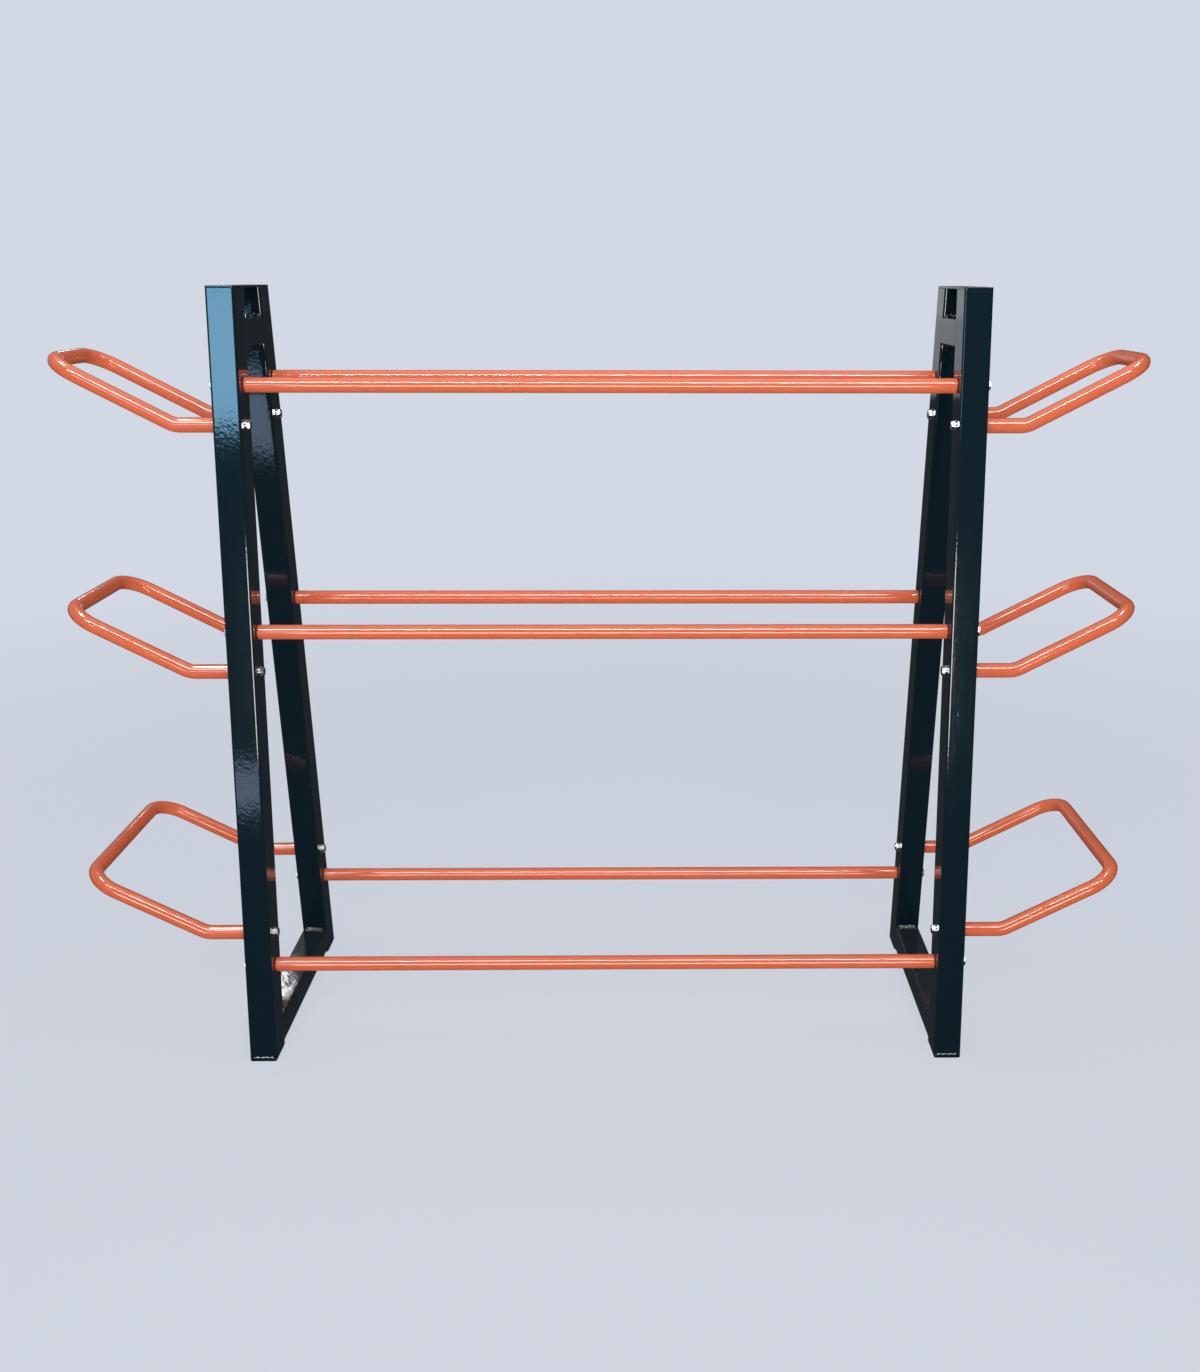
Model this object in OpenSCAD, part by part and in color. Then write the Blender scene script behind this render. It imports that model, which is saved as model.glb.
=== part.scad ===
// A-frame storage rack. Two welded side frames of rectangular tube carry three pairs of
// round rails between them and three bent tube loops on each outer side.
// X runs along the rails, Y from front to back, Z up. The origin is on the floor, centred.

/* [Overall size] */
// Height of the rack from the floor to the top plates
frame_h = 1690; // [1600:5:2100]
// Length of a rail, which is the clear distance between the side frames
rail_l = 1500; // [900:10:2000]
// Depth across the two posts at floor level
base_d = 632; // [500:2:800]
// Depth across the two posts at the top
top_d = 284; // [240:2:400]

/* [Side frames] */
// Width of a post, runner and brace, along the rails
post_w = 60; // [48:1:80]
// Depth of a post, square to its length
post_d = 80; // [60:1:100]
// Wall thickness of the rectangular tube
post_wall = 3; // [2:0.5:5]
// Outside corner radius of the rectangular tube
post_r = 5; // [4:0.5:9]
// Height of the base runner tube
runner_h = 60; // [40:1:90]
// Height of the top brace tube
brace_h = 60; // [40:1:90]
// Distance from the underside of the top plate down to the brace
brace_drop = 60; // [30:1:70]
// Thickness of the foot plates under the posts
foot_t = 8; // [4:0.5:15]
// Thickness of the top plate across the posts
top_t = 5; // [3:0.5:10]
// Leg length of a weld bead
bead_s = 6; // [3:0.5:8]

/* [Rails] */
// Outside diameter of the rail and loop tube
tube_d = 32; // [25:1:42]
// Wall thickness of the rail and loop tube
tube_wall = 2.5; // [1.5:0.5:4]
// Height of the bottom pair of rails
rail_z1 = 214; // [140:2:260]
// Height of the middle pair of rails
rail_z2 = 970; // [930:2:1300]
// Height of the top pair of rails
rail_z3 = 1490; // [1440:2:1530]

/* [Loops] */
// Height of the bottom loop's legs
loop_z1 = 290; // [260:2:800]
// Height of the middle loop's legs
loop_z2 = 884; // [500:2:930]
// Height of the top loop's legs
loop_z3 = 1408; // [1020:2:1440]
// Length of the level stub from the post to the first bend
stub_l = 92; // [60:1:140]
// Length of the sloping leg from the first bend to the cross piece
leg_l = 285; // [150:1:400]
// Slope of the loop above level, in degrees
loop_rise = 27.5; // [15:0.5:60]
// Centre-line radius of the bend between the stub and the sloping leg
stub_bend_r = 55; // [40:1:80]
// Centre-line radius of the loop's two outer corners
corner_r = 66; // [35:1:80]

/* [End caps] */
// Thickness of an end cap's rounded rim
cap_t = 6; // [5:0.5:10]
// Radius of the rim's rounded edge
cap_edge_r = 4; // [1:0.5:4]
// Length of the spigot inside the tube
spigot_l = 20; // [16:1:40]

/* [Bolts] */
// Bolt diameter
bolt_d = 12; // [8:1:14]
// Width of the bolt head across its flats
head_af = 19; // [17:1:24]
// Height of the bolt head
head_h = 7.5; // [5:0.5:10]
// Outside diameter of a washer
washer_d = 24; // [22:1:30]
// Thickness of a washer
washer_t = 2.5; // [1.5:0.5:4]
// Depth to which a bolt screws into its end cap
bolt_bite = 17.5; // [10:0.5:20]
// Clearance between the bolt and the holes in the posts, on the diameter
hole_gap = 1; // [0.5:0.1:2]
// Clearance between an end cap's spigot and its tube, and between a bolt and its cap
fit_gap = 0.1; // [0.05:0.05:0.4]

/* [Hidden] */
$fn = 64;
// Slope of the posts in degrees from upright
lean = atan((base_d - top_d) / 2 / frame_h);
// Level depth of a leaning post
post_dy = post_d / cos(lean);
// Radii of the round tube and of the holes
tube_r = tube_d / 2;
bore_r = tube_r - tube_wall;
hole_r = (bolt_d + hole_gap) / 2;
tapped_r = (bolt_d + fit_gap) / 2;
// Blind hole in an end cap, with room past the bolt's end
tapped_l = bolt_bite + 2.5;
// Sides of the side frames along X
inner_x = rail_l / 2;
outer_x = inner_x + post_w;
middle_x = inner_x + post_w / 2;
// Heights of the welded tubes
post_z0 = foot_t;
post_z1 = frame_h - top_t;
runner_z1 = post_z0 + runner_h;
brace_z1 = post_z1 - brace_drop;
brace_z0 = brace_z1 - brace_h;
rail_zs = [rail_z1, rail_z2, rail_z3];
loop_zs = [loop_z1, loop_z2, loop_z3];
// Length of the straight stub that the first bend uses up
bend_t = to_hundredth(stub_bend_r * tan(loop_rise / 2));
// Part of a weld bead's leg that its rounded face keeps at mid angle
bead_crown = 0.86;
// How far a weld bead over a flush joint stands out from it
bead_proud = 2;
// Depth of the weld that fills the groove along a post's rounded corner
groove_fill = 0.75 * post_r;

frame_colour = "#16202a";
tube_colour = "#e8704f";
zinc_colour = "#c9cdd0";

// A length rounded to a hundredth of a millimetre
function to_hundredth(v) = round(100 * v) / 100;

// Distance in Y from the middle of the rack to a post's centre line at height z, kept to
// a hundredth so that pieces that meet there start from the same place
function post_y(z) = to_hundredth(base_d / 2 - post_dy / 2 - z * tan(lean));

// Distance in Y from the middle of the rack to a post's face over the gap at height z
function gap_y(z) = base_d / 2 - post_dy - z * tan(lean);

// ---- Shapes that several pieces share ----

// Rectangle with round corners, centred
module round_rect(a, b, r) {
    union() {
        square([a - 2 * r, b], center = true);
        square([a, b - 2 * r], center = true);
        for (x = [-1, 1], y = [-1, 1])
            translate([x * (a / 2 - r), y * (b / 2 - r)])
                circle(r);
    }
}

// Cross-section of a rectangular tube
module tube_section(a, b) {
    difference() {
        round_rect(a, b, post_r);
        round_rect(a - 2 * post_wall, b - 2 * post_wall, max(post_r - post_wall, 0.5));
    }
}

// Frame of a leaning post: local Z runs up its centre line, and the origin is on the floor
module lean_in(side) {
    translate([middle_x, side * (base_d - post_dy) / 2, 0])
        rotate([side * lean, 0, 0])
            children();
}

// Slab between two heights that cuts leaning pieces level
module level_slab(z0, z1) {
    translate([middle_x, 0, (z0 + z1) / 2])
        cube([3 * post_w, 2 * base_d, z1 - z0], center = true);
}

// Block that fills the gap between the two posts between two heights
module gap_block(z0, z1) {
    translate([inner_x - post_w, 0, 0])
        rotate([90, 0, 90])
            linear_extrude(3 * post_w)
                polygon([
                    [-gap_y(z0), z0], [gap_y(z0), z0],
                    [gap_y(z1), z1], [-gap_y(z1), z1]
                ]);
}

// Cylinder along X from x0 to x1 at a given place
module x_rod(x0, x1, y, z, r) {
    translate([x0, y, z])
        rotate([0, 90, 0])
            cylinder(r = r, h = x1 - x0);
}

// Repeats a piece of the right side frame on the left side
module on_side(side) {
    if (side < 0)
        mirror([1, 0, 0]) children();
    else
        children();
}

// ---- Welded side frame, built as the right one ----

// Leaning post of rectangular tube, cut level at both ends, with its through holes for bolts.
// side is -1 for the front post and 1 for the rear post.
module post(side) {
    color(frame_colour)
        difference() {
            intersection() {
                lean_in(side)
                    translate([0, 0, -post_d])
                        linear_extrude(frame_h / cos(lean) + 2 * post_d)
                            tube_section(post_w, post_d);
                level_slab(post_z0, post_z1);
            }
            for (z = concat(rail_zs, loop_zs))
                x_rod(inner_x - post_w, outer_x + post_w, side * post_y(z), z, hole_r);
        }
}

// Level tube between the two posts, with its ends cut to their slope
module cross_tube(z0, z1) {
    color(frame_colour)
        intersection() {
            translate([middle_x, base_d / 2, (z0 + z1) / 2])
                rotate([90, 0, 0])
                    linear_extrude(base_d)
                        tube_section(post_w, z1 - z0);
            gap_block(z0 - 1, z1 + 1);
        }
}

// Plate across the tops of both posts
module top_plate() {
    color(frame_colour)
        translate([middle_x, 0, post_z1])
            linear_extrude(top_t)
                round_rect(post_w, top_d, post_r);
}

// Plates that close the bottoms of both posts, with sides in line with the posts
module foot_plates() {
    color(frame_colour)
        for (side = [-1, 1])
            intersection() {
                lean_in(side)
                    translate([0, 0, -post_d])
                        linear_extrude(2 * post_d)
                            round_rect(post_w, post_d, post_r);
                level_slab(0, foot_t);
            }
}

// Cross-section of a weld bead in a corner of the given angle, with a crowned face
module bead_section(angle) {
    polygon(concat([[0, 0]], [
        for (i = [0 : 4])
            let (a = angle * i / 4, r = bead_s * ((i == 0 || i == 4) ? 1 : bead_crown))
            [r * cos(a), r * sin(a)]
    ]));
}

// Weld bead across the frame in the corner of a cross tube and the rear post.
// up is 1 on top of the tube and -1 below it.
module corner_bead(z, up) {
    translate([inner_x + post_r, gap_y(z), z])
        rotate([90, 0, 90])
            linear_extrude(post_w - 2 * post_r)
                mirror([0, up < 0 ? 1 : 0])
                    mirror([1, 0])
                        bead_section(90 - up * lean);
}

// Weld bead over the flush joint of the rear post and its foot plate, on the outer face
module foot_bead() {
    seat_r = (bead_s * bead_s + 4 * bead_proud * bead_proud) / (8 * bead_proud);
    translate([inner_x + post_r, gap_y(foot_t) + post_dy, foot_t])
        rotate([lean, 0, 0])
            intersection() {
                translate([0, bead_proud - seat_r, 0])
                    rotate([0, 90, 0])
                        cylinder(r = seat_r, h = post_w - 2 * post_r);
                translate([-post_w, 0, -bead_s])
                    cube([3 * post_w, 2 * seat_r, 2 * bead_s]);
            }
}

// Welds that fill the grooves between the rear post's rounded corners and the flush sides of
// a cross tube
module groove_beads(z0, z1) {
    intersection() {
        lean_in(1)
            for (m = [0, 1])
                mirror([m, 0, 0])
                    translate([post_w / 2 - post_r, post_r - post_d / 2, -post_d])
                        linear_extrude(frame_h / cos(lean) + 2 * post_d)
                            difference() {
                                translate([post_r - groove_fill, -post_r])
                                    square(groove_fill);
                                circle(post_r);
                            }
        level_slab(z0 + post_r, z1 - post_r);
    }
}

// All the visible weld beads of a side frame
module weld_beads() {
    color(frame_colour)
        for (m = [0, 1])
            mirror([0, m, 0]) {
                corner_bead(runner_z1, 1);
                corner_bead(brace_z1, 1);
                corner_bead(brace_z0, -1);
                groove_beads(post_z0, runner_z1);
                groove_beads(brace_z0, brace_z1);
                foot_bead();
            }
}

// ---- Fittings in the tube ends ----

// Cap welded into a tube's end: a rim with a rounded edge, a spigot and a tapped blind hole.
// The rim's outer face is at local z = 0 and the spigot points along +Z.
module end_cap() {
    color(tube_colour)
        difference() {
            rotate_extrude()
                union() {
                    square([tube_r - cap_edge_r, cap_t]);
                    translate([0, cap_edge_r])
                        square([tube_r, cap_t - cap_edge_r]);
                    intersection() {
                        translate([tube_r - cap_edge_r, cap_edge_r])
                            circle(cap_edge_r);
                        square([tube_r, cap_edge_r]);
                    }
                    square([bore_r - fit_gap / 2, cap_t + spigot_l]);
                }
            translate([0, 0, -1])
                cylinder(r = tapped_r, h = tapped_l + 1);
        }
}

// Hexagon bolt, with the seat of its head at local z = 0 and its shank along +Z
module bolt() {
    color(zinc_colour)
        union() {
            translate([0, 0, -head_h])
                rotate([0, 0, 30])
                    cylinder(d = head_af / cos(30), h = head_h, $fn = 6);
            translate([0, 0, -head_h / 2])
                cylinder(d = bolt_d, h = head_h / 2 + washer_t + post_w + bolt_bite);
        }
}

// Plain washer, with its outer face at local z = 0
module washer() {
    color(zinc_colour)
        difference() {
            cylinder(d = washer_d, h = washer_t);
            translate([0, 0, -1])
                cylinder(r = hole_r, h = washer_t + 2);
        }
}

// Places a fitting at each of a level's four post holes, for every height in zs.
// x is its distance from the middle of the rack, and turn is 90 where it points outwards.
module at_post_holes(zs, x, turn) {
    for (z = zs, side = [-1, 1], end = [-1, 1])
        on_side(end)
            translate([x, side * post_y(z), z])
                rotate([0, turn, 0])
                    children();
}

// ---- Rails and loops ----

// Straight round tube between the end caps of a rail
module rail(z, side) {
    tube_x = inner_x - cap_t;
    color(tube_colour)
        difference() {
            x_rod(-tube_x, tube_x, side * post_y(z), z, tube_r);
            x_rod(-tube_x - 1, tube_x + 1, side * post_y(z), z, bore_r);
        }
}

// Bend between a loop's level stub and its sloping leg, about local Y. It starts below the
// origin and ends where the plane x = 0 of the sloping leg's frame cuts it.
module stub_bend(r) {
    side = stub_bend_r + r;
    intersection() {
        rotate([90, 0, 0])
            rotate_extrude()
                translate([stub_bend_r, 0])
                    circle(r);
        translate([0, -side, -2 * side])
            cube(2 * side);
        rotate([0, -loop_rise, 0])
            translate([-2 * side, -side, -2 * side])
                cube(2 * side);
    }
}

// Quarter bend from the direction of X into the direction of -Y, about local Z
module corner_bend(r) {
    rotate_extrude(angle = 90)
        translate([corner_r, 0])
            rotate(-90)
                circle(r);
}

// Solid of a loop's whole path with a given radius: level stubs, bends, sloping legs,
// corners and a cross piece. past runs the two ends on by that much.
// The sloping part is drawn in a frame that turns about the centre of the first bends.
module loop_path(z, r, past) {
    y = post_y(z);
    straight_l = leg_l - bend_t - corner_r;
    translate([outer_x + stub_l - bend_t, 0, z + stub_bend_r])
        union() {
            for (side = [-1, 1])
                translate([0, side * y, 0]) {
                    x_rod(cap_t + bend_t - stub_l - past, 0, 0, -stub_bend_r, r);
                    stub_bend(r);
                }
            rotate([0, -loop_rise, 0])
                translate([0, 0, -stub_bend_r]) {
                    for (side = [-1, 1])
                        mirror([0, side < 0 ? 1 : 0, 0]) {
                            x_rod(0, straight_l, y, 0, r);
                            translate([straight_l, y - corner_r, 0])
                                corner_bend(r);
                        }
                    translate([straight_l + corner_r, y - corner_r, 0])
                        rotate([90, 0, 0])
                            rotate([0, 0, -90])
                                cylinder(r = r, h = 2 * (y - corner_r));
                }
        }
}

// Bent tube loop on the outer side of the right frame
module loop(z) {
    color(tube_colour)
        difference() {
            loop_path(z, tube_r, 0);
            loop_path(z, bore_r, 1);
        }
}

// ---- Assembly ----

module left_front_post() { on_side(-1) post(-1); }
module left_rear_post() { on_side(-1) post(1); }
module left_base_runner() { on_side(-1) cross_tube(post_z0, runner_z1); }
module left_top_brace() { on_side(-1) cross_tube(brace_z0, brace_z1); }
module left_top_plate() { on_side(-1) top_plate(); }
module left_foot_plates() { on_side(-1) foot_plates(); }
module left_weld_beads() { on_side(-1) weld_beads(); }
module right_front_post() { post(-1); }
module right_rear_post() { post(1); }
module right_base_runner() { cross_tube(post_z0, runner_z1); }
module right_top_brace() { cross_tube(brace_z0, brace_z1); }
module right_top_plate() { top_plate(); }
module right_foot_plates() { foot_plates(); }
module right_weld_beads() { weld_beads(); }
module bottom_front_rail() { rail(rail_z1, -1); }
module bottom_rear_rail() { rail(rail_z1, 1); }
module middle_front_rail() { rail(rail_z2, -1); }
module middle_rear_rail() { rail(rail_z2, 1); }
module top_front_rail() { rail(rail_z3, -1); }
module top_rear_rail() { rail(rail_z3, 1); }
module rail_end_caps() { at_post_holes(rail_zs, inner_x, -90) end_cap(); }
module rail_bolts() { at_post_holes(rail_zs, outer_x + washer_t, -90) bolt(); }
module rail_washers() { at_post_holes(rail_zs, outer_x + washer_t, -90) washer(); }
module left_bottom_loop() { on_side(-1) loop(loop_z1); }
module left_middle_loop() { on_side(-1) loop(loop_z2); }
module left_top_loop() { on_side(-1) loop(loop_z3); }
module right_bottom_loop() { loop(loop_z1); }
module right_middle_loop() { loop(loop_z2); }
module right_top_loop() { loop(loop_z3); }
module loop_end_caps() { at_post_holes(loop_zs, outer_x, 90) end_cap(); }
module loop_bolts() { at_post_holes(loop_zs, inner_x - washer_t, 90) bolt(); }
module loop_washers() { at_post_holes(loop_zs, inner_x - washer_t, 90) washer(); }

left_front_post();
left_rear_post();
left_base_runner();
left_top_brace();
left_top_plate();
left_foot_plates();
left_weld_beads();
right_front_post();
right_rear_post();
right_base_runner();
right_top_brace();
right_top_plate();
right_foot_plates();
right_weld_beads();
bottom_front_rail();
bottom_rear_rail();
middle_front_rail();
middle_rear_rail();
top_front_rail();
top_rear_rail();
rail_end_caps();
rail_bolts();
rail_washers();
left_bottom_loop();
left_middle_loop();
left_top_loop();
right_bottom_loop();
right_middle_loop();
right_top_loop();
loop_end_caps();
loop_bolts();
loop_washers();
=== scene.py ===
"""Storage rack: two welded A-frames in gloss powder coat, joined by three pairs of round rails, with
three bent tube loops on each outer side. Lengths are in metres; +X runs along the rails and +Z is up.
The frame supplies every place and main size; the settings below hold finishes and small details."""

import math

import bpy
import numpy as np
from mathutils import Matrix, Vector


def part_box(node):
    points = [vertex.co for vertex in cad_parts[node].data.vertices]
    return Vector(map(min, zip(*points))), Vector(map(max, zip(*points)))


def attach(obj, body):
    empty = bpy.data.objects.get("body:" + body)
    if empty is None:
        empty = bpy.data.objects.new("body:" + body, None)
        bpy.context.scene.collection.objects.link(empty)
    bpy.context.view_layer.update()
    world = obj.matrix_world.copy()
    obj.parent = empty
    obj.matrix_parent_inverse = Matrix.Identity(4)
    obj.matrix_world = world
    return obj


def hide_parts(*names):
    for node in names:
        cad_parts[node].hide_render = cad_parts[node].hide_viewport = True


bl_info = {
    "name": "A-Frame Storage Rack",
    "version": (1, 0, 0),
    "blender": (4, 5, 0),
    "location": "View3D > Sidebar > Rack",
    "description": "Builds a powder-coated A-frame rack with round rails and side loops",
    "category": "Add Mesh",
}

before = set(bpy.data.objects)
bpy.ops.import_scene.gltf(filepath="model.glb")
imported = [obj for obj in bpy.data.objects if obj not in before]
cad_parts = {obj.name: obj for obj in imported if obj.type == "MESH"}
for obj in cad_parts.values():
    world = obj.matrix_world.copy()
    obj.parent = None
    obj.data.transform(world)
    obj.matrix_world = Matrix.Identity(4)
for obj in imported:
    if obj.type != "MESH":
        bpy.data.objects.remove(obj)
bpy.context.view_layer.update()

MM = 0.001
AROUND = 64        # faces round a tube
HEAD_AROUND = 96   # faces round a bolt, 16 for each flat of its head
ARC_STEPS = 8      # faces round a quarter of a small edge
BEAD_ALONG = 181   # points along a weld bead
BEAD_ACROSS = 13   # points across a weld bead
HOLD = 0.2 * MM    # distance from an arc to the extra point that keeps a flat side flat
SHARP = math.radians(40)  # edges that turn more than this are shaded sharp
RIGHT, LEFT = 1, -1
REAR, FRONT = 1, -1
X, Y, Z = np.eye(3)


# ---- Sizes that the frame gives ----

def box(node):
    """Lowest and highest corner of a node as arrays."""
    low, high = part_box(node)
    return np.array(low), np.array(high)


POST_LOW, POST_HIGH = box("right_front_post")
RUNNER_LOW, RUNNER_HIGH = box("right_base_runner")
BRACE_LOW, BRACE_HIGH = box("right_top_brace")
TOP_LOW, TOP_HIGH = box("right_top_plate")

INNER_X, OUTER_X = POST_LOW[0], POST_HIGH[0]
MIDDLE_X = (INNER_X + OUTER_X) / 2
POST_W = OUTER_X - INNER_X
POST_Z0, POST_Z1 = POST_LOW[2], POST_HIGH[2]
POST_DY = -POST_LOW[1] - RUNNER_HIGH[1]
SLOPE = (RUNNER_HIGH[1] + POST_HIGH[1]) / (POST_Z1 - POST_Z0)
LEAN = math.atan(SLOPE)

LEVELS = ("bottom", "middle", "top")
RAIL_NODES = [f"{level}_{place}_rail" for level in LEVELS for place in ("front", "rear")]
LOOP_NODES = [f"{side}_{level}_loop" for side in ("left", "right") for level in LEVELS]
RAIL_LOW, RAIL_HIGH = box("top_front_rail")
TUBE_R = (RAIL_HIGH[2] - RAIL_LOW[2]) / 2
CAP_RIM = INNER_X - RAIL_HIGH[0]
WASHER_T = box("rail_washers")[1][0] - OUTER_X
WASHER_R = box("rail_washers")[1][2] - (RAIL_HIGH[2] - TUBE_R)
HEAD_H = box("rail_bolts")[1][0] - OUTER_X - WASHER_T


def gap_y(z):
    """Distance in Y from the middle to a post's face over the gap, at height z."""
    return RUNNER_HIGH[1] - SLOPE * (z - POST_Z0)


def post_y(z):
    """Distance in Y from the middle to a post's centre line, at height z."""
    return gap_y(z) + POST_DY / 2


def rail_heights():
    """Centre heights of the three pairs of rails."""
    return [box(node)[1][2] - TUBE_R for node in RAIL_NODES[::2]]


def loop_heights():
    """Centre heights of the stubs of the three loops on a side."""
    return [box(node)[0][2] + TUBE_R for node in LOOP_NODES[:3]]


# ---- Surfaces ----

def unit(vectors):
    """Vectors of the same directions and of length 1."""
    vectors = np.asarray(vectors, float)
    return vectors / np.linalg.norm(vectors, axis=-1, keepdims=True)


def round_corners(corners, radii, steps=ARC_STEPS):
    """Closed outline through the corners, each one an arc that touches both of its sides: the arc turns
    the line from its centre to one touching point into the line to the other by equal angles. A point
    a hair beyond each end of an arc keeps the sides flat under smooth shading. A corner of radius 0
    stays a single point."""
    corners = np.asarray(corners, float)
    radii = np.broadcast_to(radii, len(corners))
    back = unit(np.roll(corners, 1, 0) - corners)
    ahead = unit(np.roll(corners, -1, 0) - corners)
    half = np.arccos(np.clip((back * ahead).sum(1), -1, 1)) / 2
    reach = radii / np.tan(half)
    centre = corners + unit(back + ahead) * (radii / np.sin(half))[:, None]
    first = corners + back * reach[:, None] - centre
    last = corners + ahead * reach[:, None] - centre
    turn = (math.pi - 2 * half)[:, None, None]
    k = np.linspace(0, 1, steps + 1)[None, :, None]
    arc = (np.sin((1 - k) * turn) * first[:, None] + np.sin(k * turn) * last[:, None]) / np.sin(turn)
    hold = np.where(radii > 0, HOLD, 0)[:, None]
    before = corners + back * (reach[:, None] + hold)
    after = corners + ahead * (reach[:, None] + hold)
    points = np.concatenate([before[:, None], arc + centre[:, None], after[:, None]], 1)
    points = points.reshape(-1, corners.shape[1])
    moved = np.linalg.norm(points - np.roll(points, 1, 0), axis=1) > 1e-9
    return points[moved]


def rectangle(a, b, r, steps=ARC_STEPS):
    """Outline of a centred rectangle a by b with corners of radius r."""
    return round_corners([[a / 2, b / 2], [-a / 2, b / 2], [-a / 2, -b / 2], [a / 2, -b / 2]], r, steps)


def skin(rings, closed):
    """Points and faces over rings[v, u], where every ring closes on itself. The row of rings closes on
    itself too where closed is true; elsewhere its two ends become flat faces. Faces point outwards:
    the volume they enclose, summed as pyramids from the middle, decides which way round they go."""
    count, around = rings.shape[:2]
    ids = np.arange(count * around).reshape(count, around)
    low = ids if closed else ids[:-1]
    high = np.roll(ids, -1, 0) if closed else ids[1:]
    quads = np.stack([low, np.roll(low, -1, 1), np.roll(high, -1, 1), high], -1).reshape(-1, 4)
    points = rings.reshape(-1, 3)
    a, b, c, d = np.moveaxis((points - points.mean(0))[quads], 1, 0)
    volume = (a * np.cross(b, c)).sum() + (a * np.cross(c, d)).sum()
    faces = quads.tolist()
    if not closed:
        faces += [ids[0, ::-1].tolist(), ids[-1].tolist()]
    if volume < 0:
        faces = [face[::-1] for face in faces]
    return points, faces


def join(surfaces):
    """One surface that holds all the given ones."""
    points = np.concatenate([points for points, _ in surfaces])
    starts = np.cumsum([0] + [len(points) for points, _ in surfaces])
    faces = [[start + i for i in face] for start, (_, faces) in zip(starts, surfaces) for face in faces]
    return points, faces


def mirrored(surface):
    """The surface with x turned to -x and its faces turned round to match."""
    points, faces = surface
    return points * [-1, 1, 1], [face[::-1] for face in faces]


def on_side(surface, side):
    """The surface of the right side, or its mirror image for the left side."""
    return surface if side == RIGHT else mirrored(surface)


def run_to(outline, origin, across, up, along, plane_point, plane_normal):
    """Outline drawn on the axes across and up at the origin, and each of its points then slid in the
    direction along until it lies in the plane."""
    start = origin + outline[:, :1] * across + outline[:, 1:] * up
    slide = ((plane_point - start) @ plane_normal) / (along @ plane_normal)
    return start + slide[:, None] * along


def cut_tube(outer, inner, origin, across, up, along, first, last):
    """Hollow tube between two cutting planes, given as (point, normal): the outer outline goes from the
    first plane to the last and the inner outline comes back."""
    rings = [run_to(outline, origin, across, up, along, *plane)
             for outline, plane in ((outer, first), (outer, last), (inner, last), (inner, first))]
    return skin(np.array(rings), closed=True)


def unit_circle():
    """Points round a circle of radius 1."""
    angle = np.linspace(0, 2 * math.pi, AROUND, endpoint=False)
    return np.stack([np.cos(angle), np.sin(angle)], 1)


def turned(profile, centre, closed, along=X):
    """Surface of revolution about a level axis: a profile point (x, r) makes the ring of radius r at
    distance x along the axis from the centre."""
    side = unit(np.cross(Z, along))
    ring = unit_circle()
    around = ring[:, :1] * side + ring[:, 1:] * Z
    rings = centre + profile[:, :1, None] * along + profile[:, 1:, None] * around
    return skin(rings, closed)


def swept_tube(points, up, ahead, outer_r, inner_r):
    """Hollow round tube along a path: at each point a circle lies across the direction ahead, turned to
    start from up. The outer circles go from end to end and the inner ones come back."""
    side = np.cross(ahead, up)
    ring = unit_circle()
    around = ring[None, :, :1] * up[:, None] + ring[None, :, 1:] * side[:, None]
    outer = points[:, None] + outer_r * around
    inner = points[:, None] + inner_r * around
    return skin(np.concatenate([outer, inner[::-1]]), closed=True)


def plate(width, depth, r, z0, z1, edge, centre_y):
    """Plate with rounded corners and softened edges: near each face its outline draws in along a
    quarter circle of the edge's radius. centre_y(z) places each level."""
    turn = np.linspace(0, math.pi / 2, 5)
    inset = edge * np.concatenate([1 - np.sin(turn), 1 - np.sin(turn[::-1])])
    z = np.concatenate([z0 + edge * (1 - np.cos(turn)), z1 - edge * (1 - np.cos(turn[::-1]))])
    rings = []
    for level, d in zip(z, inset):
        outline = rectangle(width - 2 * d, depth - 2 * d, r - d)
        rings.append(np.column_stack([
            MIDDLE_X + outline[:, 0], centre_y(level) + outline[:, 1], np.full(len(outline), level)]))
    return skin(np.array(rings), closed=False)


# ---- Finishes ----

def linear(hex_colour):
    """An sRGB colour such as #336699 as linear RGBA."""
    srgb = np.array([int(hex_colour[i:i + 2], 16) for i in (1, 3, 5)]) / 255
    value = np.where(srgb <= 0.04045, srgb / 12.92, ((srgb + 0.055) / 1.055) ** 2.4)
    return (*value.tolist(), 1.0)


def add_node(tree, kind, inputs=None, **settings):
    """Adds a node of a kind with its settings. inputs gives its sockets by name or number: another
    node's output is linked to the socket, and any other value is set on it."""
    node = tree.nodes.new(kind)
    for name, value in settings.items():
        setattr(node, name, value)
    for name, value in (inputs or {}).items():
        if isinstance(value, bpy.types.NodeSocket):
            tree.links.new(value, node.inputs[name])
        else:
            node.inputs[name].default_value = value
    return node


def new_material(name):
    """An empty node material and its tree."""
    material = bpy.data.materials.new(name)
    material.use_nodes = True
    material.node_tree.nodes.clear()
    return material, material.node_tree


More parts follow.
